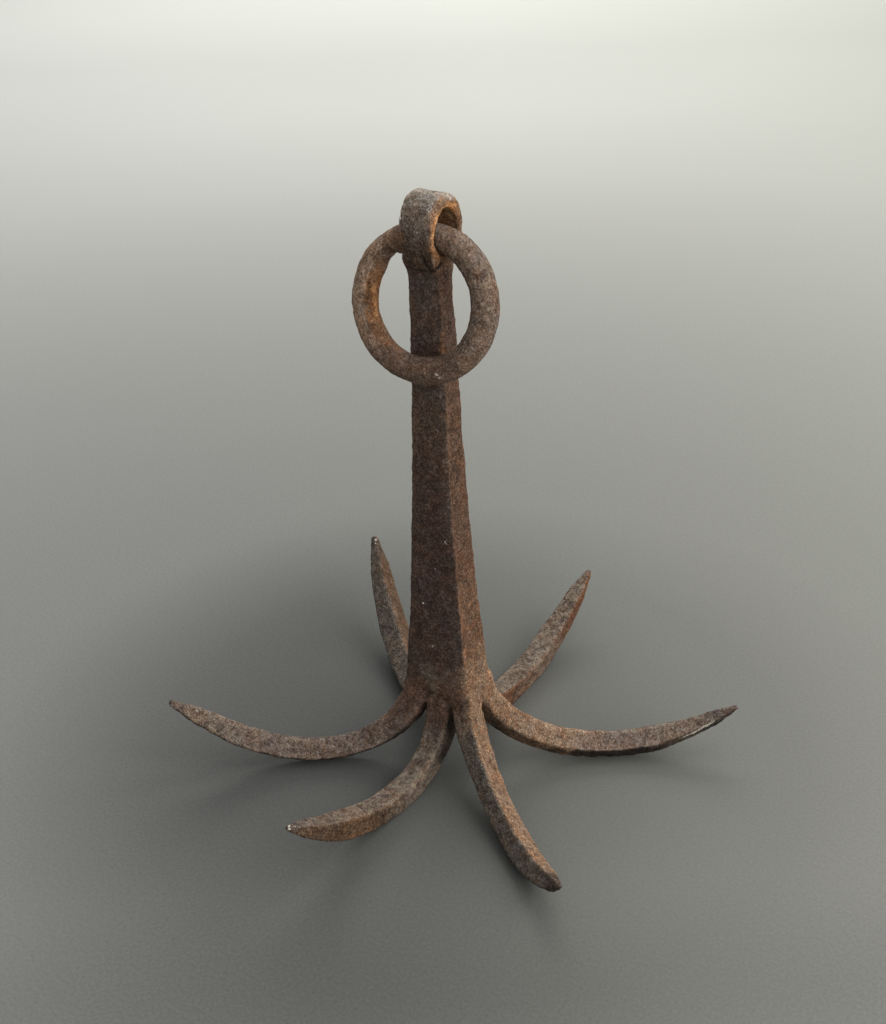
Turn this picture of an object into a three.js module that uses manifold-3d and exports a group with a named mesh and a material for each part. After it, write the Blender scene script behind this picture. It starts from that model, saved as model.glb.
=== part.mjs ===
// A hand-forged wrought-iron grapnel: one tapered shank split at its foot into six claws, a rolled eye
// at its head and a loose round-bar ring through the eye. Millimetres, +Z up. The shank's dark flat
// front faces -Y, its warm side faces +X, and the claws' bellies stand on Z = 0.
import * as THREE from 'three';
import { mergeVertices } from 'three/addons/utils/BufferGeometryUtils.js';
import Module from 'manifold-3d';

const wasm = await Module();
wasm.setup();

// ---- Driving dimensions -------------------------------------------------------------------------

// Shank: at each height, the middle of its width, then half width along X and half depth along Y.
const SHANK = [
  { z: 50, midX: -0.35, halfX: 20.6, halfY: 11.7 },
  { z: 56, midX: -0.7, halfX: 19.3, halfY: 11.6 },
  { z: 64, midX: -0.95, halfX: 18.1, halfY: 11.3 },
  { z: 82, midX: -0.8, halfX: 16.3, halfY: 10.6 },
  { z: 110, midX: -0.5, halfX: 14.0, halfY: 9.6 },
  { z: 160, midX: -0.75, halfX: 11.0, halfY: 8.2 },
  { z: 210, midX: -0.35, halfX: 9.35, halfY: 6.9 },
  { z: 264, midX: -0.7, halfX: 8.2, halfY: 5.8 },
];
const SHANK_STEPS = 22;
const CHAMFER = 0.16; // hammered corner, as a share of the half width

// Claws: where each bar leaves the split foot (column -1, 0 or 1 along X, row -1 or 1 along Y), the
// heading it is bent out along (degrees from +X), its length, its thickness factor, the height at
// which its bend starts, and how far it has turned up from straight down at each bend station.
const BEND_STATIONS = [0, 0.2, 0.4, 0.6, 0.8, 1];
const CLAWS = [
  { column: -1, row: -1, heading: -142.0, length: 159.3, factor: 1.01, bend: [8, 50, 82, 107, 127, 125] },
  { column: 0, row: -1, heading: -91.3, length: 144.2, factor: 0.99, bend: [6, 57, 96, 112, 124, 132] },
  { column: 1, row: -1, heading: -34.9, length: 138.3, factor: 0.95, bend: [8, 46, 71, 85, 108, 128] },
  { column: 1, row: 1, heading: 35.2, length: 159.8, factor: 0.98, bend: [8, 48, 74, 94, 112, 122] },
  { column: 0, row: 1, heading: 91.5, length: 173.9, factor: 1.06, bend: [8, 52, 84, 101, 113, 117] },
  { column: -1, row: 1, heading: 141.2, length: 168.4, factor: 1.14, bend: [6, 50, 84, 110, 136, 151] },
];
const COLUMN_PITCH = 13.7;
const ROW_OFFSET = 5.5;
// The bars run up into the shank, drawn in there so that no shoulder shows.
const ROOT = { z: 64, columnPitch: 9.4, rowOffset: 4.5, halfX: 5.4, halfY: 5.4 };
// Half thickness of a claw along the shank's X and Y, from root to point.
const TAPER = [
  { at: 0, halfX: 7.1, halfY: 6.2 },
  { at: 0.12, halfX: 6.5, halfY: 6.1 },
  { at: 0.35, halfX: 5.6, halfY: 6.1 },
  { at: 0.7, halfX: 6.0, halfY: 5.8 },
  { at: 0.9, halfX: 4.4, halfY: 3.8 },
  { at: 1, halfX: 1.2, halfY: 1.1 },
];
const CLAW_STEPS = 32;
const WEAR_FLAT = 0.35; // depth worn off each belly where it stands

// Eye: its rolled strap seen from the side (Y, Z), its hole, and its half width along X.
const EYE_OUTLINE = [
  [-5.8, 258], [-6.7, 266], [-8.4, 273], [-9.8, 281], [-9.7, 289], [-7.2, 295.8], [-3, 299.4],
  [2, 300.2], [7.2, 298.8], [11.6, 295], [14.2, 288.9], [14.5, 282.5], [12.2, 275.6], [8, 269.5],
  [6, 264], [5.8, 258],
];
const HOLE = { y: 2.4, z: 282.6, halfY: 8.5, down: 8.7, up: 11.3, sides: 28 };
const EYE_STEPS = 40;
const EYE_HALF_X = 8.5;
const EYE_MID_X = -0.7;
const EYE_FOOT = { z: 264, halfX: 8.3, fullZ: 274 }; // the strap widens between these heights
const EYE_BEVEL = 0.9;

// Ring: an oval of round bar hanging in the eye and leaning on the shank's front.
const RING = { halfX: 31.7, halfZ: 29.2, bar: 5.8, lean: 14.4, slip: -0.6 };
const RING_SIDES = 12;
const RING_STEPS = 60;
const PIVOT = new THREE.Vector3(0, 1.5, 281.6); // centre of the bar where it lies in the eye

const IRON = { color: 0x4a3a31, roughness: 0.9, metalness: 0.35 };
const RING_IRON = { color: 0x5a4438, roughness: 0.88, metalness: 0.35 };

// ---- Helpers ------------------------------------------------------------------------------------

// Turns a closed three.js geometry into a solid.
function solid(geometry) {
  const bare = geometry.clone();
  bare.deleteAttribute('normal');
  bare.deleteAttribute('uv');
  const merged = mergeVertices(bare, 1e-4);
  const vertProperties = Float32Array.from(merged.attributes.position.array);
  const triVerts = Uint32Array.from(merged.index.array);
  return new wasm.Manifold(new wasm.Mesh({ numProp: 3, vertProperties, triVerts }));
}

// Turns a solid back into a geometry with flat faces.
function geometryOf(manifold) {
  const mesh = manifold.getMesh();
  const geometry = new THREE.BufferGeometry();
  geometry.setAttribute('position', new THREE.BufferAttribute(mesh.vertProperties, 3));
  geometry.setIndex(new THREE.BufferAttribute(mesh.triVerts, 1));
  geometry.computeVertexNormals();
  return geometry;
}

// Reads a table at a position, in a straight line between its rows.
function between(rows, stations, value) {
  let i = 0;
  while (i < rows.length - 2 && value > stations[i + 1]) i += 1;
  const share = THREE.MathUtils.clamp((value - stations[i]) / (stations[i + 1] - stations[i]), 0, 1);
  return THREE.MathUtils.lerp(rows[i], rows[i + 1], share);
}

// A square section with its four corners hammered off, two units across.
function barSection() {
  const flat = 1 - CHAMFER;
  const corners = [
    [1, -flat], [1, flat], [flat, 1], [-flat, 1], [-1, flat], [-1, -flat], [-flat, -1], [flat, -1],
  ];
  return new THREE.Shape(corners.map(([x, y]) => new THREE.Vector2(x, y)));
}

// Moves every vertex of a geometry to where place() puts it.
function reshape(geometry, place) {
  const position = geometry.attributes.position;
  const point = new THREE.Vector3();
  for (let i = 0; i < position.count; i += 1) {
    place(point.fromBufferAttribute(position, i));
    position.setXYZ(i, point.x, point.y, point.z);
  }
  return geometry;
}

// A straight unit bar of the hammered section, carried along by place(point).
function forgedBar(steps, place) {
  const bar = new THREE.ExtrudeGeometry(barSection(), { depth: 1, steps, bevelEnabled: false });
  return reshape(bar, place);
}

// ---- Shank --------------------------------------------------------------------------------------

function shank() {
  const heights = SHANK.map((row) => row.z);
  const bottom = heights[0];
  const top = heights[heights.length - 1];
  return forgedBar(SHANK_STEPS, (p) => {
    const z = THREE.MathUtils.lerp(bottom, top, p.z);
    const halfX = between(SHANK.map((row) => row.halfX), heights, z);
    const halfY = between(SHANK.map((row) => row.halfY), heights, z);
    const midX = between(SHANK.map((row) => row.midX), heights, z);
    p.set(midX + p.x * halfX, p.y * halfY, z);
  });
}

// ---- Claws --------------------------------------------------------------------------------------

// The path of one claw: reach outwards and height, with the turn of the bar, from root to point.
function clawPath(claw) {
  const stations = [];
  const step = claw.length / CLAW_STEPS;
  let reach = 0;
  let drop = 0;
  for (let i = 0; i <= CLAW_STEPS; i += 1) {
    const at = i / CLAW_STEPS;
    const turn = THREE.MathUtils.degToRad(between(claw.bend, BEND_STATIONS, at));
    if (i > 0) {
      const mean = (turn + stations[i - 1].turn) / 2;
      reach += Math.sin(mean) * step;
      drop += Math.cos(mean) * step;
    }
    stations.push({ at, turn, reach, drop });
  }
  return stations;
}

// One claw, bent outwards from the foot without twisting, so its faces keep the shank's directions.
function clawAt(claw, rootZ) {
  const heading = THREE.MathUtils.degToRad(claw.heading);
  const out = new THREE.Vector3(Math.cos(heading), Math.sin(heading), 0);
  const side = new THREE.Vector3(-Math.sin(heading), Math.cos(heading), 0);
  const path = clawPath(claw);
  const ats = TAPER.map((row) => row.at);
  return forgedBar(CLAW_STEPS + 1, (p) => {
    const i = Math.round(p.z * (CLAW_STEPS + 1)) - 1;
    if (i < 0) {
      const x = claw.column * ROOT.columnPitch + p.x * ROOT.halfX;
      p.set(x, claw.row * ROOT.rowOffset - p.y * ROOT.halfY, ROOT.z);
      return;
    }
    const spot = path[i];
    const halfX = between(TAPER.map((row) => row.halfX), ats, spot.at) * claw.factor;
    const halfY = between(TAPER.map((row) => row.halfY), ats, spot.at) * claw.factor;
    const turn = spot.turn;
    const inner = out.clone().multiplyScalar(Math.cos(turn)).setZ(Math.sin(turn));
    const across = p.x * halfX * out.x - p.y * halfY * out.y;
    const along = p.x * halfX * side.x - p.y * halfY * side.y;
    p.set(claw.column * COLUMN_PITCH, claw.row * ROW_OFFSET, rootZ - spot.drop);
    p.addScaledVector(out, spot.reach).addScaledVector(inner, across).addScaledVector(side, along);
  });
}

// A claw set at the height that brings its belly down to the floor.
function claw(spec) {
  const trial = clawAt(spec, 0);
  trial.computeBoundingBox();
  return clawAt(spec, -trial.boundingBox.min.z);
}

// ---- Eye ----------------------------------------------------------------------------------------

function eye() {
  const bend = new THREE.SplineCurve(EYE_OUTLINE.map(([y, z]) => new THREE.Vector2(y, z)));
  const outline = new THREE.Shape(bend.getPoints(EYE_STEPS));
  const hole = [];
  for (let i = 0; i < HOLE.sides; i += 1) {
    const angle = (i / HOLE.sides) * Math.PI * 2;
    const rise = Math.sin(angle) > 0 ? HOLE.up : HOLE.down;
    hole.push(new THREE.Vector2(HOLE.y + HOLE.halfY * Math.cos(angle), HOLE.z + rise * Math.sin(angle)));
  }
  outline.holes.push(new THREE.Path(hole));
  const strap = new THREE.ExtrudeGeometry(outline, {
    depth: 2 * (EYE_HALF_X - EYE_BEVEL),
    bevelEnabled: true,
    bevelThickness: EYE_BEVEL,
    bevelSize: EYE_BEVEL,
    bevelOffset: -EYE_BEVEL,
    bevelSegments: 1,
  });
  strap.translate(0, 0, -(EYE_HALF_X - EYE_BEVEL));
  // The outline lies in (Y, Z) and the depth along X; the strap narrows to the shank at its foot.
  return reshape(strap, (p) => {
    const widened = THREE.MathUtils.smoothstep(p.y, EYE_FOOT.z, EYE_FOOT.fullZ);
    const halfX = THREE.MathUtils.lerp(EYE_FOOT.halfX, EYE_HALF_X, widened) / EYE_HALF_X;
    p.set(EYE_MID_X + p.z * halfX, p.x, p.y);
  });
}

// ---- Ring ---------------------------------------------------------------------------------------

// A round bar bent into an oval, top bar at the pivot, leaning forwards off the vertical.
function ring() {
  const round = new THREE.TorusGeometry(RING.halfX, RING.bar, RING_SIDES, RING_STEPS);
  reshape(round, (p) => {
    const angle = Math.atan2(p.y, p.x);
    const outward = Math.hypot(p.x, p.y) - RING.halfX;
    const normal = new THREE.Vector2(Math.cos(angle) * RING.halfZ, Math.sin(angle) * RING.halfX).normalize();
    const x = RING.halfX * Math.cos(angle) + normal.x * outward;
    const z = RING.halfZ * Math.sin(angle) + normal.y * outward;
    p.set(x + RING.slip, -p.z, z - RING.halfZ);
  });
  round.rotateX(-THREE.MathUtils.degToRad(RING.lean));
  return round.translate(PIVOT.x, PIVOT.y, PIVOT.z);
}

// ---- Assembly -----------------------------------------------------------------------------------

let forging = solid(shank()).add(solid(eye()));
for (const spec of CLAWS) forging = forging.add(solid(claw(spec)));
const ground = new THREE.BoxGeometry(600, 600, 20).translate(0, 0, WEAR_FLAT - 10);
forging = forging.subtract(solid(ground));

const iron = geometryOf(forging).translate(0, 0, -WEAR_FLAT);
const loop = geometryOf(solid(ring())).translate(0, 0, -WEAR_FLAT);

// The origin is on the floor under the middle of the whole object.
iron.computeBoundingBox();
loop.computeBoundingBox();
const middle = iron.boundingBox.clone().union(loop.boundingBox).getCenter(new THREE.Vector3());

const anchorMesh = new THREE.Mesh(iron, new THREE.MeshStandardMaterial(IRON));
anchorMesh.name = 'forged_anchor';
const ringMesh = new THREE.Mesh(loop, new THREE.MeshStandardMaterial(RING_IRON));
ringMesh.name = 'ring';

const grapnel = new THREE.Group();
grapnel.add(anchorMesh, ringMesh);
grapnel.position.set(-middle.x, -middle.y, 0);
grapnel.updateMatrixWorld(true);

export default grapnel;
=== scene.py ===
# %% [markdown]
# # A small forged grapnel
#
# The object is wrought iron: a tapered shank whose foot was split into six claws, a rolled eye at its
# head, and a loose ring. Everything below is in metres, with +Z up and the floor at Z = 0. The packed
# model gives the true size and place of both parts, and the looks are built round it.

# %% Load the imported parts
import math
import random

import bpy
import numpy as np
from mathutils import Matrix, Vector, noise


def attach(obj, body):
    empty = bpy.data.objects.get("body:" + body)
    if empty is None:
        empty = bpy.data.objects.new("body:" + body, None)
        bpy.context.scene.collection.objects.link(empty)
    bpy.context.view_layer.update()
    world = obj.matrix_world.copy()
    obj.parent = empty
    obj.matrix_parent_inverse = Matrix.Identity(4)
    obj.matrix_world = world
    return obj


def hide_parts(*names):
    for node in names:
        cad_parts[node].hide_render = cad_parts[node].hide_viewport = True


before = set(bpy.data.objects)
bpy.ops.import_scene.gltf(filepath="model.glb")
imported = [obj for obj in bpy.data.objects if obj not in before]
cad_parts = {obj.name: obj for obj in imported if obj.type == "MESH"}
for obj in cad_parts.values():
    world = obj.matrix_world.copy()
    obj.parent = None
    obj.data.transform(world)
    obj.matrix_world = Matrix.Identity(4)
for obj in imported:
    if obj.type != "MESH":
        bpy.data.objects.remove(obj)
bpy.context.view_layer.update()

# %% [markdown]
# ## The camera
#
# The camera stands a little above the head of the shank and looks down past it, so that the claws
# spread towards the viewer. It comes first because it never depends on the pieces. The long lens keeps
# the shank from leaning, and the slight roll is the one of a hand-held view.

# %% Place the camera
CAMERA_PLACE = Vector((0.3144, -0.4509, 0.4451))
CAMERA_PAN, CAMERA_PITCH, CAMERA_ROLL = (math.radians(a) for a in (36.03, 28.89, -2.44))
CAMERA_LENS = 45.7

turn = Matrix.Rotation(CAMERA_PAN, 4, "Z") @ Matrix.Rotation(math.pi / 2 - CAMERA_PITCH, 4, "X")
turn = turn @ Matrix.Rotation(CAMERA_ROLL, 4, "Z")
camera_data = bpy.data.cameras.new("viewer")
camera_data.lens = CAMERA_LENS
camera_data.clip_start, camera_data.clip_end = 0.01, 20
camera = bpy.data.objects.new("viewer", camera_data)
camera.matrix_world = Matrix.Translation(CAMERA_PLACE) @ turn
bpy.context.scene.collection.objects.link(camera)
bpy.context.scene.camera = camera
print("camera at", tuple(round(c, 3) for c in CAMERA_PLACE))

# %% [markdown]
# ## Shaping helpers
#
# A forging is one skin of iron, so its look starts from the part's own solid. A copy is merged into one
# closed mesh and given a new, even skin by a voxel remesh. Even small faces let the surface be hammered
# and pitted everywhere alike, which a mesh of long flat facets can't be.

# %% Copy a part and give it an even skin
def work_on(piece):
    bpy.ops.object.select_all(action="DESELECT")
    piece.select_set(True)
    bpy.context.view_layer.objects.active = piece


def apply_modifier(piece, kind, **settings):
    modifier = piece.modifiers.new(kind.lower(), kind)
    for key, value in settings.items():
        setattr(modifier, key, value)
    work_on(piece)
    bpy.ops.object.modifier_apply(modifier=modifier.name)


def even_skin(node, name, voxel, smoothing, packing=()):
    piece = bpy.data.objects.new(name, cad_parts[node].data.copy())
    bpy.context.scene.collection.objects.link(piece)
    piece.data.materials.clear()
    work_on(piece)
    bpy.ops.object.mode_set(mode="EDIT")
    bpy.ops.mesh.select_all(action="SELECT")
    bpy.ops.mesh.remove_doubles(threshold=1e-6)
    for middle, size in packing:
        bpy.ops.mesh.primitive_cube_add(size=1, location=middle, scale=size)
    bpy.ops.object.mode_set(mode="OBJECT")
    apply_modifier(piece, "REMESH", mode="VOXEL", voxel_size=voxel)
    apply_modifier(piece, "SMOOTH", factor=0.5, iterations=smoothing)
    print(name, "skin of", len(piece.data.polygons), "faces")
    return piece


# %% [markdown]
# Hammer marks, scabs and pits are all the same thing at different sizes: soft bumps that never repeat.
# They could be sculpted by hand, but a displace modifier with a cloud texture gives them evenly all over,
# and its one length and one depth are easy to read off a real forging.

# %% Hammer a skin with soft noise
def hammer(piece, name, spread, depth, group="", middle=0.5, **settings):
    """Push the skin in and out by noise with lumps of one spread, all over or in one vertex group."""
    pattern = bpy.data.textures.new(name, "CLOUDS")
    pattern.noise_scale = spread
    for key, value in settings.items():
        setattr(pattern, key, value)
    apply_modifier(piece, "DISPLACE", texture=pattern, texture_coords="LOCAL", strength=depth,
                   mid_level=middle, vertex_group=group)


# %% [markdown]
# Marks that sit in one place, such as a weld or a worn hollow, are set by measuring every point of the
# skin at once. These helpers read the points, move them, and measure how far each is from a path.

# %% Read, measure and move the points of a skin
def points_of(piece):
    mesh = piece.data
    places = np.empty(len(mesh.vertices) * 3)
    facings = np.empty(len(mesh.vertices) * 3)
    mesh.vertices.foreach_get("co", places)
    mesh.vertex_normals.foreach_get("vector", facings)
    return places.reshape(-1, 3), facings.reshape(-1, 3)


def move_points(piece, places):
    piece.data.vertices.foreach_set("co", places.ravel())
    piece.data.update()


def ease(low, high, value):
    along = np.clip((value - low) / (high - low), 0, 1)
    return along * along * (3 - 2 * along)


def ragged(places, size, shift=0.0):
    """Soft noise between -1 and 1 at each place, with lumps of the given size."""
    return np.array([noise.noise(Vector(place) / size + Vector((shift, shift, shift))) for place in places])


def distance_to(places, spot):
    return np.linalg.norm(places - np.array(spot), axis=1)


def distance_to_path(places, path):
    nearest = np.full(len(places), np.inf)
    for start, end in zip(path, path[1:]):
        start, end = np.array(start), np.array(end)
        run = end - start
        along = np.clip((places - start) @ run / (run @ run), 0, 1)
        nearest = np.minimum(nearest, np.linalg.norm(places - start - along[:, None] * run, axis=1))
    return nearest


# %% [markdown]
# ## The forging
#
# Shank, eye and claws are one piece. The smith stopped the cuts between the claws a little below the
# shank, so a block of packing closes their upper ends before the skin is made. The hammer left long
# shallow waves in the faces and the sea ate small pits into them, so three sizes of noise follow each
# other: waves about 20 mm long, dents of a few millimetres, and pits near the size of a grain of rice.

# %% Forge the shank, eye and claws
SPLIT_PACKING = [((-0.0030, -0.0149, 0.0485), (0.0360, 0.0195, 0.0150))]  # middle, size
FORGING_FACE = 0.0009
forging = even_skin("forged_anchor", "forging_iron", FORGING_FACE, 2, SPLIT_PACKING)

# %% [markdown]
# Where the claws leave the shank the iron was drawn out hot, so nothing there has a hard step. A vertex
# group picks out that crown, and a smooth modifier works on the group alone. Then the hammer follows, in
# two sizes.

# %% Draw the crown smooth
CROWN = (-0.0035, -0.0149)
CROWN_STARTS, CROWN_ENDS = (0.036, 0.042), (0.072, 0.056)  # heights where the smoothing fades in and out
CROWN_WIDE = (0.040, 0.030)
CROWN_ROUNDS = 40


def out_from_crown(places):
    """How far each point lies to the side, to the back and straight out from the middle of the crown."""
    out_x, out_y = places[:, 0] - CROWN[0], places[:, 1] - CROWN[1]
    return out_x, out_y, np.hypot(out_x, out_y)


def weigh(piece, name, weights):
    group = piece.vertex_groups.new(name=name)
    for index in np.nonzero(weights > 0.02)[0]:
        group.add([int(index)], float(weights[index]), "REPLACE")


places, _ = points_of(forging)
_, _, reach = out_from_crown(places)
crown = ease(*CROWN_STARTS, places[:, 2]) * ease(*CROWN_ENDS, places[:, 2]) * ease(*CROWN_WIDE, reach)
weigh(forging, "crown", crown)
apply_modifier(forging, "SMOOTH", factor=0.5, iterations=CROWN_ROUNDS, vertex_group="crown")
hammer(forging, "hammer_waves", 0.024, 0.0011)
hammer(forging, "small_dents", 0.007, 0.0007)
print("crown smoothed over", int((crown > 0.02).sum()), "points")

# %% [markdown]
# The smith rolled the head of the shank over into an eye and welded its end down, which left a crease in
# the side and a low step across the front. Both run through faces that are first cut finer, so that
# the line stays narrow.

# %% Score the weld at the foot of the eye
WELD_CREASE = [(-0.0016, -0.0240, 0.2752), (0.0000, -0.0231, 0.2715), (0.0018, -0.0222, 0.2686),
               (0.0036, -0.0212, 0.2697), (0.0038, -0.0180, 0.2712)]
WELD_STEP = [(-0.0115, -0.0222, 0.2692), (-0.0062, -0.0224, 0.2680), (0.0022, -0.0222, 0.2684)]
STEP_HEIGHT = 0.2684
CREASE_DEEP, STEP_DEEP, STRAP_PROUD = 0.0009, 0.0005, 0.0005
places, _ = points_of(forging)
near_weld = np.minimum(distance_to_path(places, WELD_CREASE), distance_to_path(places, WELD_STEP)) < 0.004
work_on(forging)
chosen = [all(near_weld[list(face.vertices)]) for face in forging.data.polygons]
forging.data.polygons.foreach_set("select", chosen)
bpy.ops.object.mode_set(mode="EDIT")
bpy.ops.mesh.select_mode(type="FACE")
bpy.ops.mesh.subdivide(number_cuts=1, smoothness=0)
bpy.ops.mesh.select_all(action="DESELECT")
bpy.ops.object.mode_set(mode="OBJECT")
places, facings = points_of(forging)
crease = distance_to_path(places, WELD_CREASE)
step = distance_to_path(places, WELD_STEP)
above_step = ease(0.0, 0.0008, places[:, 2] - STEP_HEIGHT) * ease(0.0075, 0.004, places[:, 2] - STEP_HEIGHT)
on_strap = above_step * ease(0.2, 0.6, -facings[:, 1]) * ease(0.0052, 0.0035, places[:, 0])
sink = CREASE_DEEP * ease(0.0014, 0.0, crease) + STEP_DEEP * ease(0.0010, 0.0, step) - STRAP_PROUD * on_strap
move_points(forging, places - facings * sink[:, None])
print("weld scored through", sum(chosen), "faces")

# %% [markdown]
# Rust lifts in scabs, most of all on the sheltered sides of the claws and on the top of the one that
# points to the right, and the flat faces are peppered with pits. A vertex group says where the scabs sit,
# and a harder noise raises them there.

# %% Raise scabs and eat pits
LIFTED_SCALE = (0.0985, 0.0570, 0.0240)
places, facings = points_of(forging)
_, _, reach = out_from_crown(places)
scabby = ease(0.045, 0.02, places[:, 2]) * ease(0.35, -0.25, facings[:, 2]) * ease(0.03, 0.06, reach) * 0.55
lifted = ease(0.012, 0.005, distance_to(places, LIFTED_SCALE))
weigh(forging, "scabs", np.maximum(scabby, lifted))
hammer(forging, "scab_noise", 0.0065, 0.0016, "scabs", 0.45, noise_depth=1, noise_type="HARD_NOISE")
hammer(forging, "rust_pits", 0.0024, 0.0007, noise_depth=2)

# %% [markdown]
# The anchor's weight wears its bellies flat. No bump may reach below the floor, so points under it are
# lifted to it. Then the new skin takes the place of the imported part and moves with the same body.


# %% Stand it on the floor
def keep_above_floor(piece):
    places, _ = points_of(piece)
    places[:, 2] = np.maximum(places[:, 2], 0)
    move_points(piece, places)


keep_above_floor(forging)
work_on(forging)
bpy.ops.object.shade_smooth()
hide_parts("forged_anchor")
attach(forging, "forging")
print("forging", len(forging.data.polygons), "faces")

# %% [markdown]
# ## The ring
#
# A round bar was bent into an oval and its ends welded. It hangs through the eye. Its skin is finer than
# the forging's, because the bar is thin and is seen against the light. Smoothing shrinks a thin bar, so
# the skin is pushed back out, except where it runs through the eye. Then a worn place is sunk into its
# inner side, left of the eye, that ends in a square shoulder.

# %% Forge the ring
RING_FACE = 0.0005
PLANE_TILT = math.radians(14.4)

ring = even_skin("ring", "ring_iron", RING_FACE, 6)


def round_the_ring(places):
    """Each point's place across and up the ring's own tilted plane, from its middle."""
    middle = (places.min(axis=0) + places.max(axis=0)) / 2
    across = places[:, 0] - middle[0]
    up = (places[:, 2] - middle[2]) * math.cos(PLANE_TILT) + (places[:, 1] - middle[1]) * math.sin(PLANE_TILT)
    return across, up


# %% [markdown]
# Places on the bar are given by their angle round the ring, in degrees from its right side. The worn
# hollow fades in slowly from below and ends in a short step above, where the bar has kept its thickness.

# %% Swell and wear the bar
RING_SWELL = 0.00035
BAR_IN_EYE = (15, 30)  # angles from the top between which the swell fades in
WORN_DEEP = 0.0019
WORN_FADES, WORN_STEP = (156, 141), (126, 129.5)
places, _ = points_of(ring)
across, up = round_the_ring(places)
round_angle = np.degrees(np.arctan2(up, across))
weigh(ring, "outside_eye", ease(*BAR_IN_EYE, np.abs(round_angle - 90)))
apply_modifier(ring, "DISPLACE", strength=RING_SWELL, mid_level=0, vertex_group="outside_eye")
hammer(ring, "ring_waves", 0.016, 0.0010)
hammer(ring, "ring_dents", 0.005, 0.0005)
places, facings = points_of(ring)
across, up = round_the_ring(places)
round_angle = np.degrees(np.arctan2(up, across))
outwards = np.stack([across, up * math.sin(PLANE_TILT), up * math.cos(PLANE_TILT)], axis=1)
outwards /= np.hypot(across, up)[:, None]
inner_side = ease(0.1, -0.6, (outwards * facings).sum(axis=1))
worn = ease(*WORN_FADES, round_angle) * ease(*WORN_STEP, round_angle) * inner_side
move_points(ring, places + outwards * (WORN_DEEP * worn)[:, None])
hammer(ring, "ring_pits", 0.0018, 0.0004, noise_depth=2)
bpy.ops.object.shade_smooth()
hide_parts("ring")
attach(ring, "ring")
print("ring", len(ring.data.polygons), "faces, worn at", int((worn > 0.5).sum()), "points")

# %% [markdown]
# ## Flecks of lime
#
# A few specks of pale lime, all that is left of sea growth, cling to the iron. One crumb is modelled
# from a ball with few faces, flattened and broken by noise, and the others are copies that are turned and
# scaled before they are set down. All crumbs of one part are joined, so that they move with it.

# %% Shape one crumb
CRUMB = 0.5  # half width, scaled later by millimetres
bpy.ops.object.select_all(action="DESELECT")
bpy.ops.mesh.primitive_ico_sphere_add(subdivisions=2, radius=CRUMB)
crumb = bpy.context.object
crumb.name = "lime_crumb"
bpy.ops.object.mode_set(mode="EDIT")
bpy.ops.mesh.select_all(action="SELECT")
bpy.ops.transform.resize(value=(1, 0.8, 0.55), center_override=(0, 0, 0))
bpy.ops.object.mode_set(mode="OBJECT")
hammer(crumb, "crumb_noise", 0.45, 0.35)
print("one crumb has", len(crumb.data.polygons), "faces")


# %% [markdown]
# A crumb has to sit on the iron as it is now, after the hammering. Each spot is therefore dropped onto the
# nearest point of the skin, and the crumb is turned to stand on the way the skin faces there.

# %% Set a crumb on the skin
def set_on_skin(spot, places, facings):
    """The point of the skin nearest a spot, and the way the skin faces there."""
    nearest = distance_to(places, spot).argmin()
    facing = facings[nearest]
    return np.array(spot) - facing * ((np.array(spot) - places[nearest]) @ facing), facing


def scatter_crumbs(name, skin, spots, seed):
    chance = random.Random(seed)
    places, facings = points_of(skin)
    copies = []
    for spot, width in spots:
        place, facing = set_on_skin(spot, places, facings)
        copy = crumb.copy()
        copy.data = crumb.data.copy()
        bpy.context.scene.collection.objects.link(copy)
        upright = Vector(facing).to_track_quat("Z", "Y").to_matrix().to_4x4()
        spin = Matrix.Rotation(chance.uniform(0, math.tau), 4, "Z")
        size = width * 0.001
        scale = Matrix.Diagonal((size, size * chance.uniform(0.7, 1.0), size, 1))
        copy.data.transform(Matrix.Translation(Vector(place)) @ upright @ spin @ scale)
        copies.append(copy)
    bpy.ops.object.select_all(action="DESELECT")
    for copy in copies:
        copy.select_set(True)
    bpy.context.view_layer.objects.active = copies[0]
    bpy.ops.object.join()
    copies[0].name = name
    bpy.ops.object.shade_smooth()
    print(name, len(spots), "crumbs")
    return copies[0]


# %% Scatter the crumbs
# Where each crumb of the forging sits, and its width in millimetres.
FORGING_CRUMBS = [
    ((0.0041, -0.0239, 0.1376), 1.5), ((0.0050, -0.0239, 0.1368), 0.8), ((-0.0021, -0.0244, 0.1210), 1.0),
    ((-0.0099, -0.0250, 0.0994), 1.5), ((-0.0045, -0.0259, 0.0764), 1.3), ((0.0024, -0.0255, 0.0476), 0.8),
    ((-0.0028, -0.0250, 0.2854), 1.2), ((0.0011, -0.0225, 0.2950), 0.9), ((0.0023, -0.0228, 0.2944), 0.9),
    ((-0.0013, -0.0156, 0.2998), 1.3), ((0.0006, -0.0150, 0.2999), 0.8), ((0.0030, -0.0147, 0.2998), 0.9),
    ((-0.0120, -0.0239, 0.2903), 1.8), ((-0.0118, -0.0234, 0.2930), 1.2), ((-0.0118, -0.0222, 0.2954), 0.8),
    ((-0.0058, -0.1374, 0.0450), 2.0), ((-0.0050, -0.1383, 0.0438), 1.5), ((-0.0046, -0.1352, 0.0430), 0.8),
    ((-0.0316, -0.0413, 0.0151), 1.0), ((-0.1073, -0.0931, 0.0382), 1.1), ((0.0944, 0.0430, 0.0151), 1.0),
    ((-0.1138, 0.0684, 0.0573), 2.0), ((-0.1133, 0.0674, 0.0556), 1.2),
]
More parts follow.
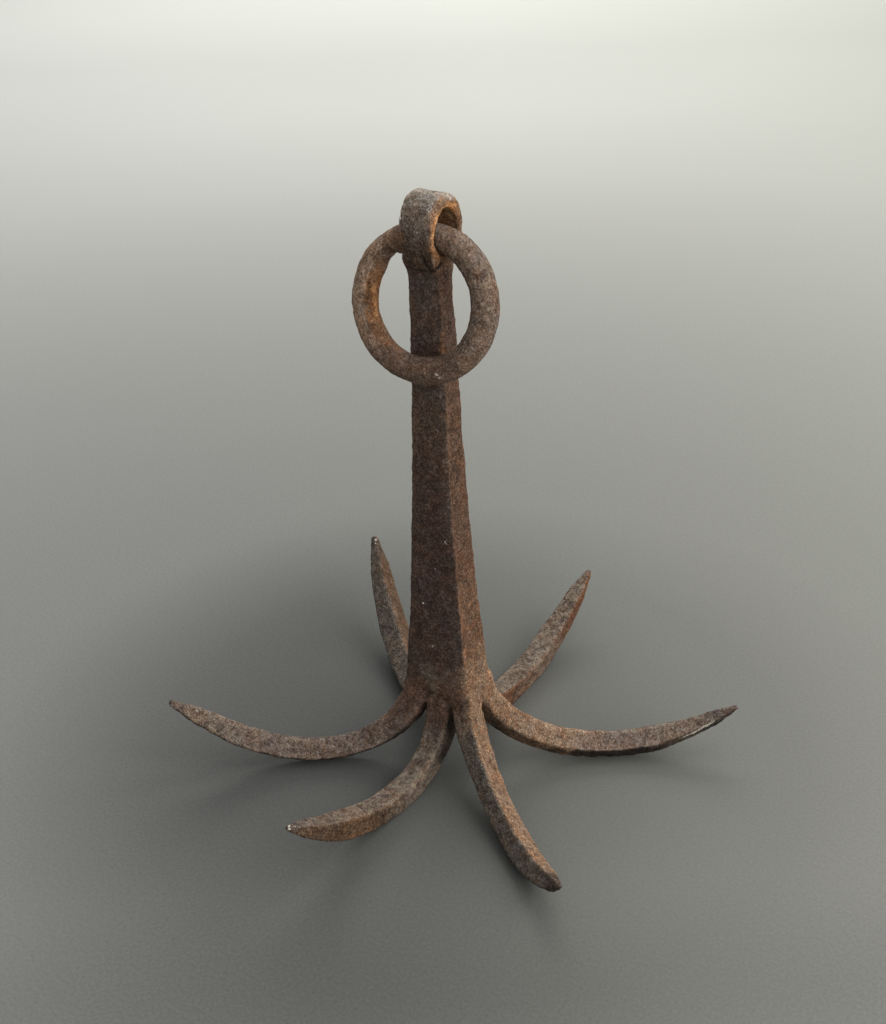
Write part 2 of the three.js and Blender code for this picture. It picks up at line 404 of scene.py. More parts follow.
# A streak of lime runs along the lower edge of the claw that points to the right.
STREAK_START, STREAK_END = Vector((0.0985, 0.0455, 0.0130)), Vector((0.1120, 0.0560, 0.0235))
STREAK_STEPS = 20
for step in range(STREAK_STEPS + 1):
    share = step / STREAK_STEPS
    FORGING_CRUMBS.append((STREAK_START.lerp(STREAK_END, share), 0.9 + 0.8 * math.sin(math.pi * share)))
RING_CRUMBS = [((0.0101, -0.0330, 0.2272), 1.6), ((0.0112, -0.0328, 0.2258), 1.2)]
forging_lime = scatter_crumbs("forging_lime", forging, FORGING_CRUMBS, 4)
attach(forging_lime, "forging")
ring_lime = scatter_crumbs("ring_lime", ring, RING_CRUMBS, 9)
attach(ring_lime, "ring")
bpy.data.objects.remove(crumb)

# %% [markdown]
# ## Where each colour of rust lies
#
# Rust isn't one colour. The sheltered faces keep a purple-black scale, the open ones weather to warm
# brown and tan, the tops of the claws carry a grey crust, and bright orange sits where water stays. This
# follows the surface, so it is worked out once for each point from the way it faces and where it is, and
# stored with the mesh. The shader then breaks it up with noise.

# %% Name the rusts
# Colour as red, green and blue light returned, then how much pale crust lies on it.
RUSTS = {
    "black_scale": (0.097, 0.061, 0.049, 0.05),
    "low_scale": (0.104, 0.068, 0.055, 0.12),
    "brown_scale": (0.126, 0.088, 0.071, 0.15),
    "warm_rust": (0.123, 0.067, 0.041, 0.10),
    "light_rust": (0.188, 0.102, 0.058, 0.15),
    "tan_rust": (0.292, 0.182, 0.110, 0.35),
    "crown_rust": (0.176, 0.103, 0.073, 0.20),
    "grey_crust": (0.158, 0.119, 0.089, 0.90),
    "cream_crust": (0.245, 0.200, 0.155, 0.90),
    "purple_grey": (0.234, 0.179, 0.143, 0.55),
    "red_rust": (0.106, 0.064, 0.037, 0.10),
    "dull_red": (0.140, 0.083, 0.049, 0.10),
    "claw_red": (0.164, 0.075, 0.038, 0.10),
    "orange_rust": (0.340, 0.160, 0.064, 0.05),
    "dark_orange": (0.235, 0.112, 0.046, 0.05),
    "bright_rust": (0.520, 0.265, 0.110, 0.00),
    "slate_scale": (0.135, 0.112, 0.093, 0.35),
    "tip_dark": (0.082, 0.064, 0.054, 0.10),
    "tip_black": (0.060, 0.047, 0.040, 0.05),
    # painted shade, not a rust: near-black put where shade falls, on undersides, in the splits and along the
    # weld crease
    "under_black": (0.045, 0.033, 0.027, 0.00),
    "lime_dust": (0.420, 0.385, 0.320, 0.70),
    "ring_tan": (0.340, 0.232, 0.162, 0.25),
    "ring_brown": (0.192, 0.134, 0.098, 0.30),
    "ring_dark": (0.152, 0.098, 0.071, 0.10),
    "eye_brown": (0.240, 0.183, 0.148, 0.50),
    "rim_brown": (0.215, 0.130, 0.080, 0.10),
    "bore_brown": (0.320, 0.200, 0.105, 0.00),
}
# The rust on each side of the shank behind its dark front, and on each claw by the claw's heading in
# degrees, as (the way the face looks, rust). Faces that look down take painted shade instead of rust.
SHANK_SIDES = [((1, 0, 0), "warm_rust"), ((-1, 0, 0), "brown_scale"), ((0, 1, 0), "warm_rust")]
CLAW_FACES = {
    -142.0: [
        ((0.68, -0.47, 0.57), "purple_grey"), ((0.1, -0.92, 0.38), "brown_scale"),
        ((0, 0.3, 0.95), "slate_scale"), ((-0.7, 0.5, 0.5), "brown_scale"), ((0, 0, -1), "under_black"),
    ],
    -91.3: [
        ((0, 0, 1), "grey_crust"), ((1, 0, 0), "red_rust"), ((-1, 0, 0), "brown_scale"),
        ((0, -0.95, 0.3), "brown_scale"), ((0, 0, -1), "under_black"),
    ],
    -34.9: [
        ((-0.45, -0.7, 0.55), "slate_scale"), ((0.6, 0.35, 0.7), "tan_rust"), ((0, 0, -1), "under_black"),
    ],
    35.2: [
        ((0.3, -0.5, 0.8), "purple_grey"), ((0.9, 0.1, 0.4), "tan_rust"), ((0.6, -0.7, -0.2), "under_black"),
        ((-0.6, 0.75, 0.3), "warm_rust"), ((0, 0, -1), "under_black"),
    ],
    91.5: [
        ((0, -0.2, 0.97), "grey_crust"), ((1, 0, 0), "claw_red"), ((-1, 0, 0), "brown_scale"),
        ((0, 0, -1), "under_black"),
    ],
    141.2: [
        ((-0.1, -0.8, 0.6), "slate_scale"), ((0.75, 0.4, 0.5), "dull_red"), ((-0.7, 0.4, 0.5), "brown_scale"),
        ((0, 0, -1), "under_black"),
    ],
}


print(len(RUSTS), "rusts on", len(CLAW_FACES), "claws")

# %% [markdown]
# On a forged bar each face weathers alike, but it runs into the next one over a rounded corner. So a
# point takes a mixture of the rusts of all faces, and the face that looks most nearly its way counts most.


# %% Mix the rusts by the way each point faces
def rust(name):
    return np.array(RUSTS[name])


def faces_tone(facings, faces, crispness=14):
    total, weights = 0, 0
    for looks, name in faces:
        looks = np.array(looks) / np.linalg.norm(looks)
        weight = np.exp(crispness * (facings @ looks - 1))[:, None]
        total, weights = total + weight * rust(name), weights + weight
    return total / weights


def lay_over(tone, name, amount):
    amount = np.clip(amount, 0, 1)[:, None]
    return tone * (1 - amount) + rust(name) * amount


def patch_of(places, centre, radius, raggedness, shift):
    """One patch with a torn edge, 1 in its middle and 0 outside."""
    away = distance_to(places, centre) / radius
    return ease(1.1, 0.35, away + raggedness * ragged(places, radius * 0.35, shift))


def behind_front(places, lowest, band=0.003):
    """How far each point lies behind the frontmost line of the shank at its height."""
    rows = (places[:, 2] / band).astype(int)
    front = np.full(rows.max() + 1, np.inf)
    np.minimum.at(front, rows, places[:, 1])
    heights = np.maximum(places[:, 2], lowest)
    return places[:, 1] - np.interp(heights / band - 0.5, np.arange(len(front)), front)


# %% [markdown]
# The front of the shank keeps its black scale as far as the hammered corner, and the side behind the
# corner is warm brown. The line between them is straight on the iron although the surface is dented, so
# it is drawn by depth behind the front and not by the way each point faces.

# %% Paint the shank
SIDE_LIGHTENS = (0.150, 0.085)  # heights between which the shank's right side turns paler
CORNER_HEIGHTS, CORNER_DEPTHS = (0.060, 0.260), (0.0021, 0.0013)  # the corner is deeper lower down
CORNER_BLUR = 0.0002
places, facings = points_of(forging)
height = places[:, 2] + 0.006 * ragged(places, 0.010, 2)
corner = np.interp(places[:, 2], CORNER_HEIGHTS, CORNER_DEPTHS)
on_front = ease(corner + CORNER_BLUR, corner - CORNER_BLUR, behind_front(places, CORNER_HEIGHTS[0]))
tone = lay_over(faces_tone(facings, SHANK_SIDES), "black_scale", on_front)
tone = lay_over(tone, "low_scale", on_front * ease(0.13, 0.09, height))
right_side = (1 - on_front) * ease(0.2, 0.5, facings[:, 0])
tone = lay_over(tone, "light_rust", right_side * ease(*SIDE_LIGHTENS, height) * 0.8)
tone = lay_over(tone, "tan_rust", right_side * ease(0.085, 0.050, height) * 0.8)
tone = lay_over(tone, "brown_scale", on_front * ease(0.165, 0.205, height) * 0.70)
tone = lay_over(tone, "black_scale", right_side * ease(0.222, 0.240, height) * 0.5)
# painted shade: the rounded corner where the black front turns to the lit right side is painted near-black,
# so that it doesn't catch the light
painted_shade_corner = on_front * ease(0.12, 0.45, facings[:, 0])
tone = lay_over(tone, "under_black", painted_shade_corner * 0.7)
print("black front on", int((on_front > 0.5).sum()), "points")

# %% [markdown]
# Each claw is told from the others by its heading, and has its own list of rusts, because each turns
# other faces to the weather.

# %% Paint the claws
out_x, out_y, reach = out_from_crown(places)
heading = np.degrees(np.arctan2(out_y, out_x))
headings = np.array(list(CLAW_FACES))
apart = np.abs((heading[:, None] - headings[None, :] + 180) % 360 - 180)
which = apart.argmin(axis=1)
past_crown = reach + 0.25 * (0.045 - places[:, 2]) + 0.004 * ragged(places, 0.008, 3)
on_claw = ease(0.014, 0.030, past_crown) * ease(0.075, 0.045, places[:, 2] - reach * 0.35)
for index, faces in enumerate(CLAW_FACES.values()):
    mine = (on_claw * (which == index))[:, None]
    tone = tone * (1 - mine) + faces_tone(facings, faces) * mine

# The walls of the splits between the claws, and the sides of the middle split, are painted near-black as
# painted shade.
looks_out = (out_x * facings[:, 0] + out_y * facings[:, 1]) / reach
split_wall_shade = ease(0.047, 0.043, places[:, 2]) * ease(0.034, 0.026, reach) * ease(0.5, 0.2, looks_out)
middle_split_shade = ease(0.0090, 0.0075, np.abs(out_x)) * ease(0.5, 0.8, np.abs(facings[:, 0]))
middle_split_shade = middle_split_shade * ease(0.047, 0.043, places[:, 2]) * ease(0.032, 0.018, reach)
tone = lay_over(tone, "under_black", np.maximum(split_wall_shade, middle_split_shade) * 0.9)
print("claws painted, points on each", np.bincount(which[on_claw > 0.5]))

# %% [markdown]
# Water stands in some places and chains rub others, so single patches differ from the face they lie on.
# A patch is a ball with a torn edge: what it touches takes its rust.

# %% Lay patches of other rust
# Rust, middle, radius, strength.
PATCHES = [
    ("tan_rust", (0.0190, -0.0100, 0.0480), 0.026, 0.85),
    ("crown_rust", (-0.0036, -0.0270, 0.0500), 0.020, 0.75),
    ("cream_crust", (-0.0064, -0.0264, 0.0585), 0.0070, 0.65),
    ("cream_crust", (-0.0040, -0.0266, 0.0505), 0.0045, 0.45),
    ("purple_grey", (0.0060, -0.0263, 0.0600), 0.0060, 0.30),
    ("dull_red", (-0.0085, -0.0222, 0.1860), 0.024, 0.30),
    ("crown_rust", (-0.0220, -0.0300, 0.0400), 0.018, 0.70),
    ("tan_rust", (0.0400, 0.0080, 0.0250), 0.028, 0.80),
    ("cream_crust", (-0.0068, -0.0490, 0.0130), 0.028, 0.95),
    ("cream_crust", (-0.0040, 0.0700, 0.0130), 0.030, 0.50),
    ("tip_black", (0.1040, -0.0880, 0.0230), 0.022, 0.95),
    ("tip_dark", (-0.1190, -0.0990, 0.0440), 0.012, 0.50),
    ("cream_crust", (-0.0950, -0.0850, 0.0270), 0.026, 0.45),
    ("cream_crust", (0.0930, 0.0480, 0.0200), 0.018, 0.35),
    ("tip_dark", (0.1180, 0.0630, 0.0300), 0.018, 0.70),
    ("tip_dark", (-0.0050, -0.1360, 0.0440), 0.006, 0.80),
    ("orange_rust", (0.0010, -0.1010, 0.0160), 0.018, 0.15),
    ("tip_dark", (-0.1120, 0.0660, 0.0520), 0.010, 0.50),
]
for shift, (name, centre, radius, strength) in enumerate(PATCHES):
    tone = lay_over(tone, name, strength * patch_of(places, centre, radius, 0.45, 5 + shift))

# A thin rusty drip runs down the front corner above the ring's lower bar.
DRIP = [(0.0042, -0.0196, 0.2400), (0.0042, -0.0206, 0.2320)]
tone = lay_over(tone, "orange_rust", ease(0.0016, 0.0005, distance_to_path(places, DRIP)) * 0.32)

# %% [markdown]
# The eye has rusts of its own: grey-brown scale outside, a thin line of bright orange round the hole
# where the ring keeps rubbing the scale off, a brown rim, and a bore the colour of old oil. Its lower
# outside and the weld crease get painted shade.

# %% Paint the eye
HOLE_Y, HOLE_Z = -0.0125, 0.2822
HOLE_WIDE, HOLE_TALL = 0.0085, 0.0100
EYE_MIDDLE_X, EYE_HALF_WIDE = -0.0042, 0.0085
EYE_CREST = [
    (-0.0045, -0.0165, 0.2995), (-0.0001, -0.0153, 0.2997),
    (0.0036, -0.0130, 0.2993), (0.0040, -0.0086, 0.2976),
]
hole_y = (places[:, 1] - HOLE_Y) / HOLE_WIDE
hole_z = (places[:, 2] - HOLE_Z) / HOLE_TALL
hole_out = np.hypot(hole_y, hole_z)
on_eye = ease(0.2640, 0.2720, places[:, 2] + 0.002 * ragged(places, 0.005, 20))
side = np.abs(facings[:, 0])
outside = on_eye * ease(0.8, 0.5, side) * (hole_out > 1.15)
eye_height = places[:, 2] + 0.003 * ragged(places, 0.006, 21)
tone = lay_over(tone, "red_rust", outside * ease(0.286, 0.278, eye_height) * 0.8)
# painted shade darkens the lower part of the eye's outside
tone = lay_over(tone, "under_black", outside * ease(0.282, 0.274, eye_height) * 0.3)
tone = lay_over(tone, "eye_brown", outside * ease(0.278, 0.291, eye_height))
dusty = ease(0.35, 0.95, facings[:, 2] - 0.3 * facings[:, 0] + 0.5 * ragged(places, 0.0025, 22))
tone = lay_over(tone, "lime_dust", outside * dusty * 0.75)
tone = lay_over(tone, "rim_brown", on_eye * ease(0.5, 0.8, side))
crest = distance_to_path(places, EYE_CREST) + 0.0010 * ragged(places, 0.002, 25)
tone = lay_over(tone, "lime_dust", on_eye * ease(0.0024, 0.0006, crest) * 0.9)
from_side = EYE_HALF_WIDE - np.abs(places[:, 0] - EYE_MIDDLE_X)
wear = ease(1.50, 1.20, hole_out + 0.12 * ragged(places, 0.004, 23)) * ease(0.0030, 0.0015, from_side)
front_and_top = ease(0.35, -0.35, hole_y - 0.8 * hole_z)
tone = lay_over(tone, "dark_orange", on_eye * wear * (0.35 + 0.50 * front_and_top))
tone = lay_over(tone, "bright_rust", on_eye * wear * front_and_top * (0.20 + 0.60 * ease(-0.4, 0.6, hole_z)))
tone = lay_over(tone, "bore_brown", on_eye * (hole_out < 1.2) * ease(0.0015, 0.0030, from_side))
# painted shade: a dark line along the weld crease and the step below the eye
crease_shade = np.minimum(distance_to_path(places, WELD_CREASE), distance_to_path(places, WELD_STEP) + 0.0003)
tone = lay_over(tone, "under_black", ease(0.0016, 0.0003, crease_shade) * 0.85)
print("eye painted,", int((on_eye > 0.5).sum()), "points")

# %% [markdown]
# Corners are rubbed clean by handling, and hollows are darkened with painted shade. To know which is which,
# the skin is compared with a smoothed copy of itself: what stands above the copy is a corner, what lies
# below it is a hollow. The result is stored with the mesh, because the shader can't measure it for itself
# everywhere.


# %% Measure how each point stands out
def standing_out(piece, rounds):
    """How far each point stands above its smoothed surroundings, in millimetres."""
    places, facings = points_of(piece)
    mesh = piece.data
    ends = np.empty(len(mesh.edges) * 2, dtype=np.int32)
    mesh.edges.foreach_get("vertices", ends)
    first, second = ends.reshape(-1, 2).T
    size = len(places)
    count = np.bincount(first, minlength=size) + np.bincount(second, minlength=size)
    soft = places.copy()
    for _ in range(rounds):
        sums = [np.bincount(first, soft[second, axis], size) for axis in range(3)]
        sums = [had + np.bincount(second, soft[first, axis], size) for axis, had in enumerate(sums)]
        soft = np.stack(sums, axis=1) / count[:, None]
    return ((places - soft) * facings).sum(axis=1) * 1000


# %% Store the paint with the mesh
def store_paint(piece, tone, stand):
    mesh = piece.data
    colour = mesh.attributes.new("rust_tone", "FLOAT_COLOR", "POINT")
    flat = tone.copy()
    flat[:, 3] = 1
    colour.data.foreach_set("color", flat.ravel())
    for name, values in (("crust", tone[:, 3]), ("stand", np.clip(stand, -1, 1))):
        layer = mesh.attributes.new(name, "FLOAT", "POINT")
        layer.data.foreach_set("value", values)
    print(piece.name, "painted, mean tone", tone[:, :3].mean(axis=0).round(3))


stand = standing_out(forging, 14)
store_paint(forging, tone, stand - np.median(stand))

# %% [markdown]
# The ring is darker underneath and on its inner side, and orange on the inside of its left bar, where it
# was once bound. A darker patch where the upper bar runs into the eye is a painted shadow. Its place in
# the oval comes from the angle round the ring's middle.

# %% Paint the ring
# Each orange place on the inner side: its middle, radius and strength.
ORANGE_PLACES = [((-0.0290, -0.0215, 0.2500), 0.0180, 0.95), ((-0.0210, -0.0270, 0.2340), 0.0140, 0.45)]
RUBBED_LINE = [(-0.0303, -0.0215, 0.2558), (-0.0298, -0.0221, 0.2495), (-0.0284, -0.0232, 0.2450)]
places, facings = points_of(ring)
across, up = round_the_ring(places)
out = np.hypot(across, up)
outward = (across * facings[:, 0] + up * facings[:, 2]) / out
tone = np.tile(rust("ring_tan"), (len(places), 1))
tone = lay_over(tone, "ring_brown", ease(-0.45, 0.35, across / out + 0.3 * ragged(places, 0.010, 30)))
tone = lay_over(tone, "ring_dark", ease(0.0, -0.8, outward + 0.4 * ragged(places, 0.008, 31)) * 0.55)
tone = lay_over(tone, "ring_dark", ease(-0.45, -0.90, up / out + 0.25 * ragged(places, 0.009, 32)) * 0.9)
# painted shadow: the upper bar is darkened where it runs into the eye
tone = lay_over(tone, "ring_dark", patch_of(places, (-0.0160, -0.0180, 0.2770), 0.010, 0.4, 35) * 0.7)
inner = ease(-0.40, -0.80, outward + 0.15 * ragged(places, 0.004, 38))
for shift, (centre, radius, strength) in enumerate(ORANGE_PLACES):
    tone = lay_over(tone, "dark_orange", strength * inner * patch_of(places, centre, radius, 0.4, 36 + shift))
rubbed = ease(0.0022, 0.0006, distance_to_path(places, RUBBED_LINE) + 0.0008 * ragged(places, 0.003, 39))
tone = lay_over(tone, "bright_rust", rubbed * 0.60)
tone = lay_over(tone, "purple_grey", patch_of(places, (0.0160, -0.0100, 0.2790), 0.014, 0.4, 34) * 0.35)
stand = standing_out(ring, 40)
store_paint(ring, tone, stand - np.median(stand))

# %% [markdown]
# ## Shader tools
#
# A material is a chain of nodes. To keep the chains readable, a small class wraps a socket so that sums
# can be written as sums, and one method adds any other node.

# %% Wrap a socket
class Wire:
    def __init__(self, tree, socket=None):
        self.tree = tree
        self.socket = socket

    def node(self, kind, settings, values, out=0):
        """Add a node: its settings first, then a value or a wire for each socket."""
        made = self.tree.nodes.new(kind)
        for name, value in settings.items():
            if name == "stops":
                while len(made.color_ramp.elements) < len(value):
                    made.color_ramp.elements.new(0.5)
                for element, (at, colour) in zip(made.color_ramp.elements, value):
                    element.position, element.color = at, colour
            else:
                setattr(made, name, value)
        for name, value in values.items():
            if isinstance(value, Wire):
                self.tree.links.new(value.socket, made.inputs[name])
            else:
                made.inputs[name].default_value = value
        return Wire(self.tree, made.outputs[out])

    def maths(self, operation, first, second):
        return self.node("ShaderNodeMath", {"operation": operation}, {0: first, 1: second})

    def __add__(self, other):
        return self.maths("ADD", self, other)

    def __sub__(self, other):
        return self.maths("SUBTRACT", self, other)

    def __mul__(self, other):
        return self.maths("MULTIPLY", self, other)

    def __rsub__(self, other):
        return self.maths("SUBTRACT", other, self)

    __radd__, __rmul__ = __add__, __mul__

    def rise(self, low, high):
        """0 below low, 1 above high, and a soft step between."""
        return self.node("ShaderNodeMapRange", {"interpolation_type": "SMOOTHSTEP"},
                         {"Value": self, "From Min": low, "From Max": high})

    def noise(self, size, detail, roughness=0.55, distortion=0.0, shift=(0, 0, 0)):
        """Noise over these coordinates, with lumps of the given size in metres."""
        moved = self.node("ShaderNodeVectorMath", {"operation": "ADD"}, {0: self, 1: shift})
        return self.node("ShaderNodeTexNoise", {}, {"Vector": moved, "Scale": 1 / size, "Detail": detail,
                                                    "Roughness": roughness, "Distortion": distortion})

    def grit(self, size, out):
        """Cells of the given size: 0 gives the distance to their middles, 1 a random colour each."""
        return self.node("ShaderNodeTexVoronoi", {}, {"Vector": self, "Scale": 1 / size}, out)

    def blend(self, first, second):
        """Mix two colours, with this wire as the amount of the second."""
        return self.node("ShaderNodeMix", {"data_type": "RGBA"}, {0: self, 6: first, 7: second}, 2)

    def tint(self, colour, amount=1.0):
        settings = {"data_type": "RGBA", "blend_type": "MULTIPLY"}
        return self.node("ShaderNodeMix", settings, {0: amount, 6: self, 7: colour}, 2)

    def scaled(self, factor):
        return self.node("ShaderNodeVectorMath", {"operation": "SCALE"}, {0: self, 3: factor})


def new_material(name):
    material = bpy.data.materials.new(name)
    material.use_nodes = True
    surface = material.node_tree.nodes["Principled BSDF"]
    start = Wire(material.node_tree)
    return material, surface, start


def feed(start, surface, name, wire):
    start.tree.links.new(wire.socket, surface.inputs[name])


# %% [markdown]
# ## Old iron
#
# The painted rust is broken up at four sizes: broad clouds of warmer and cooler rust, patches of crust
# a few millimetres wide, scabs with torn edges, and a grain as fine as sand. The grain is an exponent, so
# it makes lone bright grains as well as dark ones. Corners are rubbed lighter and hollows are darkened
# with painted shade.
# The same noises drive roughness and bump, so that a dark scab is also smoother and lower than the crust
# beside it.

# %% Mix the iron
def old_iron(name, contrast, lift):
    material, surface, start = new_material(name)
    where = start.node("ShaderNodeTexCoord", {}, {}, 3)
    tone = start.node("ShaderNodeAttribute", {"attribute_name": "rust_tone"}, {}, 0)
    crust = start.node("ShaderNodeAttribute", {"attribute_name": "crust"}, {}, 2)
    stand = start.node("ShaderNodeAttribute", {"attribute_name": "stand"}, {}, 2)

    broad = where.noise(0.020, 3)
    patches = where.noise(0.0040, 5, 0.64, shift=(0.31, 0.07, 0.11))
    grain = where.noise(0.0011, 3, 0.7)
    sand = where.noise(0.00060, 2, 0.6, shift=(0.9, 0.4, 0.2))
    scabs = where.noise(0.0034, 6, 0.70, 0.5, shift=(0.53, 0.21, 0.72)).rise(0.52, 0.62)
    flakes = where.noise(0.0036, 6, 0.66, 0.6, shift=(0.17, 0.83, 0.41)).rise(0.47, 0.55)
    corner = stand.rise(0.05, 0.45)
    # the hollows get painted shade
    hollow = (0 - stand).rise(0.08, 0.5)

    # Light and dark, then warmer and cooler.
    depth = (broad - 0.5) * (0.5 * contrast) + (patches - 0.5) * (1.9 * contrast)
    depth = depth + (grain - 0.5) * (3.6 * contrast) + (sand - 0.5) * (2.8 * contrast)
    colour = tone.scaled(depth.maths("POWER", math.e, depth) * lift)
    reddish = where.noise(0.0085, 4, 0.65, 0.4, shift=(0.6, 0.6, 0.1)).rise(0.46, 0.60)
    colour = colour.tint((1.13, 0.96, 0.83, 1), reddish * 0.7)
    coolish = where.noise(0.0065, 4, 0.65, 0.4, shift=(0.2, 0.9, 0.8)).rise(0.48, 0.62)
    colour = colour.tint((0.90, 0.95, 1.06, 1), coolish * 0.8)

    # The brightest grains are paler and less red, and the darkest ones redder.
    colour = colour.tint((1.05, 0.97, 0.88, 1), grain.rise(0.52, 0.38))
    colour = colour.tint((0.93, 1.02, 1.16, 1), grain.rise(0.50, 0.64))

    # Dark scabs, pale crust, rubbed corners, and painted shade in the hollows.
    colour = colour.tint((0.62, 0.56, 0.55, 1), scabs * 0.7)
    colour = colour.tint((0.64, 0.55, 0.56, 1), (1 - flakes) * crust * 0.85)
    pale = flakes * crust * (0.30 + grain.rise(0.44, 0.60) * 0.55)
    colour = pale.blend(colour, (0.330, 0.275, 0.210, 1))
    colour = colour.tint((1.35, 1.32, 1.26, 1), corner * 0.5)
    colour = colour.tint((0.45, 0.39, 0.36, 1), hollow * 0.75)

    # Lone crumbs of lime and small pits with uneven edges.
    wobble = start.node("ShaderNodeVectorMath", {"operation": "ADD"}, {0: where, 1: grain * 0.0012})
    chance = wobble.node("ShaderNodeSeparateColor", {}, {0: wobble.grit(0.0015, 1)})
    specks = (1 - wobble.grit(0.0015, 0).rise(0.14, 0.28)) * chance.rise(0.92, 0.95) * (0.3 + crust * 0.7)
    colour = specks.blend(colour, (0.40, 0.35, 0.28, 1))
    pits = where.noise(0.0016, 2, 0.6, 0.8, shift=(0.4, 0.7, 0.3)).rise(0.64, 0.74)
    colour = colour.tint((0.45, 0.38, 0.36, 1), pits * 0.8)
    feed(start, surface, "Base Color", colour)

    rough = 0.92 - scabs * 0.16 + (grain - 0.5) * 0.35 - corner * 0.08
    feed(start, surface, "Roughness", rough.maths("MINIMUM", rough.maths("MAXIMUM", rough, 0.5), 1.0))
    height = (grain - 0.5) * 1.6 + (sand - 0.5) * 0.6 + patches * 1.2 + pale * 0.6 - scabs * 0.5 - pits * 0.8
    bump = start.node("ShaderNodeBump", {}, {"Strength": 1.0, "Distance": 0.00050, "Height": height})
    feed(start, surface, "Normal", bump)
    surface.inputs["Specular IOR Level"].default_value = 0.25
    return material


forging.data.materials.append(old_iron("old_wrought_iron", contrast=1.0, lift=1.06))
ring.data.materials.append(old_iron("old_ring_iron", contrast=0.9, lift=1.14))

# %% [markdown]
# ## Lime
#
# The crumbs are chalky and matt, with a little rust soaked into them.

# %% Mix the lime
lime, lime_surface, lime_start = new_material("sea_lime")
lime_where = lime_start.node("ShaderNodeTexCoord", {}, {}, 3)
stain = lime_where.noise(0.0008, 4, 0.6).rise(0.42, 0.66)
feed(lime_start, lime_surface, "Base Color", stain.blend((0.62, 0.60, 0.53, 1), (0.36, 0.28, 0.19, 1)))
feed(lime_start, lime_surface, "Roughness", 0.85 + stain * 0.12)
chalk = lime_where.noise(0.0004, 3, 0.6)
rubbed = lime_start.node("ShaderNodeBump", {}, {"Strength": 0.8, "Distance": 0.0001, "Height": chalk})
feed(lime_start, lime_surface, "Normal", rubbed)
for piece in (forging_lime, ring_lime):
    piece.data.materials.clear()
    piece.data.materials.append(lime)

# %% [markdown]
# ## The studio
#
# The grapnel stands on a pale paper floor that curves up into a wall all round, so that every side has a
# plain background. The paper is a flat disc whose rim is extruded outwards and upwards in steps. It is
# painted darker close to the iron, as painted shade, and paler further off, as painted light.

# %% Roll out the paper
FLOOR_RADIUS = 3.4
CURVE_RADIUS = 1.5
CURVE_STEPS = 8
WALL_HEIGHT = 1.6

bpy.ops.object.select_all(action="DESELECT")
bpy.ops.mesh.primitive_circle_add(vertices=96, radius=FLOOR_RADIUS, fill_type="NGON")
floor = bpy.context.object
floor.name = "paper_floor"
bpy.ops.object.mode_set(mode="EDIT")
bpy.ops.mesh.select_all(action="SELECT")
bpy.ops.mesh.inset(thickness=FLOOR_RADIUS * 0.8)
bpy.ops.mesh.select_all(action="SELECT")
bpy.ops.mesh.region_to_loop()
reach, height = FLOOR_RADIUS, 0.0
for step in range(1, CURVE_STEPS + 2):
    angle = math.pi / 2 * min(step, CURVE_STEPS) / CURVE_STEPS
    next_reach = FLOOR_RADIUS + CURVE_RADIUS * math.sin(angle)
    next_height = CURVE_RADIUS * (1 - math.cos(angle)) + WALL_HEIGHT * (step > CURVE_STEPS)
    bpy.ops.mesh.extrude_edges_move(TRANSFORM_OT_translate={"value": (0, 0, next_height - height)})
    widen = next_reach / reach
    bpy.ops.transform.resize(value=(widen, widen, 1), center_override=(0, 0, 0))
    reach, height = next_reach, next_height
bpy.ops.mesh.select_all(action="SELECT")
bpy.ops.mesh.normals_make_consistent(inside=False)
bpy.ops.object.mode_set(mode="OBJECT")
bpy.ops.object.shade_smooth()
print("paper reaches", round(reach, 2), "m and rises", round(height, 2), "m")

# %% [markdown]
# The tone of the paper depends on how far out it lies, and then on which side: painted window light makes
# it paler and warmer towards the window, and painted shade makes it darker towards the room. Close to the
# iron the side counts most, and far out only the bearing tints it, so that no line shows on the wall.
# Fine noise gives it the tooth of paper.

# %% Colour the paper
# painted light and shade: the paper's tone is darker near the iron and paler further out
PAPER_TONES = [
    (0.070, 0.135), (0.17, 0.172), (0.27, 0.255), (0.37, 0.280), (0.61, 0.350), (1.19, 0.550), (2.04, 0.740),
    (3.40, 0.810),
]  # how far out in metres, and how much light the paper returns there
PALE_SIDE = (0.81, 0.59, 0)  # towards the window, where the paper is paler and warmer
DARK_SIDE = (0.59, -0.81, 0)  # towards the room, where it is darker

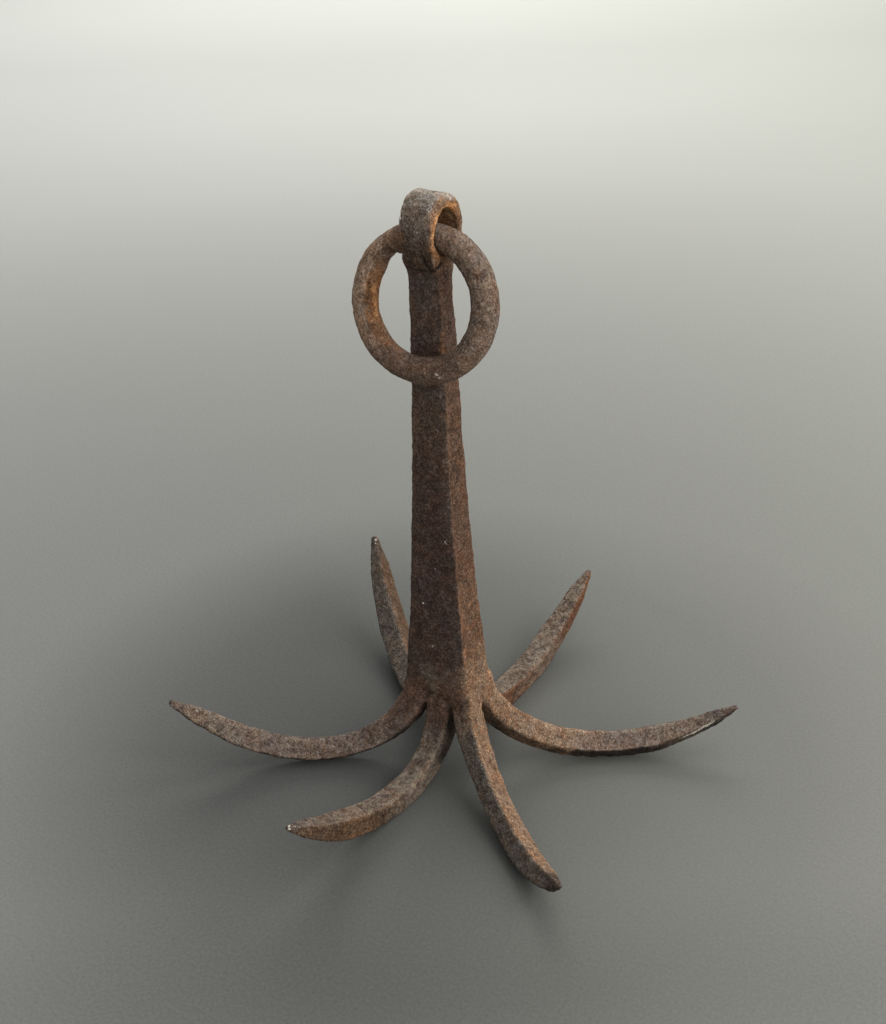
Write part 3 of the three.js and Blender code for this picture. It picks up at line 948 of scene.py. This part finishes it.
paper, paper_surface, paper_start = new_material("pale_paper")
paper_where = paper_start.node("ShaderNodeTexCoord", {}, {}, 3)
paper_out = paper_start.node("ShaderNodeVectorMath", {"operation": "LENGTH"}, {0: paper_where}, 1)
stops = [(out / FLOOR_RADIUS, (tone, tone * 1.01, tone * 0.97, 1)) for out, tone in PAPER_TONES]
shade = paper_start.node("ShaderNodeValToRGB", {"stops": stops}, {0: paper_out * (1 / FLOOR_RADIUS)})
along = {"operation": "DOT_PRODUCT"}
to_window = paper_start.node("ShaderNodeVectorMath", along, {0: paper_where, 1: PALE_SIDE}, 1)
to_room = paper_start.node("ShaderNodeVectorMath", along, {0: paper_where, 1: DARK_SIDE}, 1)
# painted light and shade: paler towards the window and darker towards the room, mostly near the iron
painted_side_light = (to_window.rise(-0.13, 0.13) - 0.5) * (0.44 - paper_out.rise(0.12, 0.30) * 0.42)
painted_side_light = painted_side_light - to_room.rise(0.10, 0.18) * (0.20 - paper_out.rise(0.22, 0.60) * 0.20)
# painted warm window light: the paper is tinted warmer towards the window
bearing = to_window.maths("DIVIDE", to_window, paper_out + 0.05)
shade = shade.tint((1.0, 1.0, 0.95, 1), bearing.rise(-0.9, 0.9))
fibres = (paper_where.noise(0.0016, 3, 0.7) - 0.5) * 0.50
feed(paper_start, paper_surface, "Base Color", shade.scaled(1 + painted_side_light + fibres))
paper_surface.inputs["Roughness"].default_value = 0.95
paper_surface.inputs["Specular IOR Level"].default_value = 0.1
floor.data.materials.append(paper)

# %% [markdown]
# The light is that of a room with a window on the right: large soft panels and a weak sky all round.
# The two window panels do most of the work on the iron, and one far panel only brightens the wall behind.

# %% Hang the lights
world = bpy.data.worlds.new("studio")
bpy.context.scene.world = world
world.use_nodes = True
world.node_tree.nodes["Background"].inputs["Color"].default_value = (0.93, 0.97, 1.0, 1)
world.node_tree.nodes["Background"].inputs["Strength"].default_value = 0.14


def soft_light(name, place, size, watts, target=(0, 0, 0.1)):
    data = bpy.data.lights.new(name, "AREA")
    data.shape = "SQUARE"
    data.size = size
    data.energy = watts
    data.color = (1.0, 0.99, 0.97)
    lamp = bpy.data.objects.new(name, data)
    lamp.location = place
    lamp.rotation_euler = (Vector(target) - Vector(place)).to_track_quat("-Z", "Y").to_euler()
    lamp.visible_camera = False
    bpy.context.scene.collection.objects.link(lamp)


soft_light("window", (1.40, -0.22, 0.90), size=1.2, watts=12)
soft_light("window_side", (1.05, 0.76, 0.70), size=1.2, watts=5)
soft_light("ceiling_right", (0.65, 0.47, 1.30), size=1.3, watts=6)
soft_light("ceiling", (0.0, 0.0, 1.5), size=1.4, watts=4)
soft_light("back_wall", (-1.75, 2.40, 2.3), size=2.2, watts=60, target=(-1.5, 2.0, 0))
soft_light("room_front", (0.88, -1.21, 1.0), size=1.2, watts=3)
soft_light("room_back", (-0.88, 1.21, 1.0), size=1.2, watts=4)
bpy.context.scene.view_settings.view_transform = "Standard"
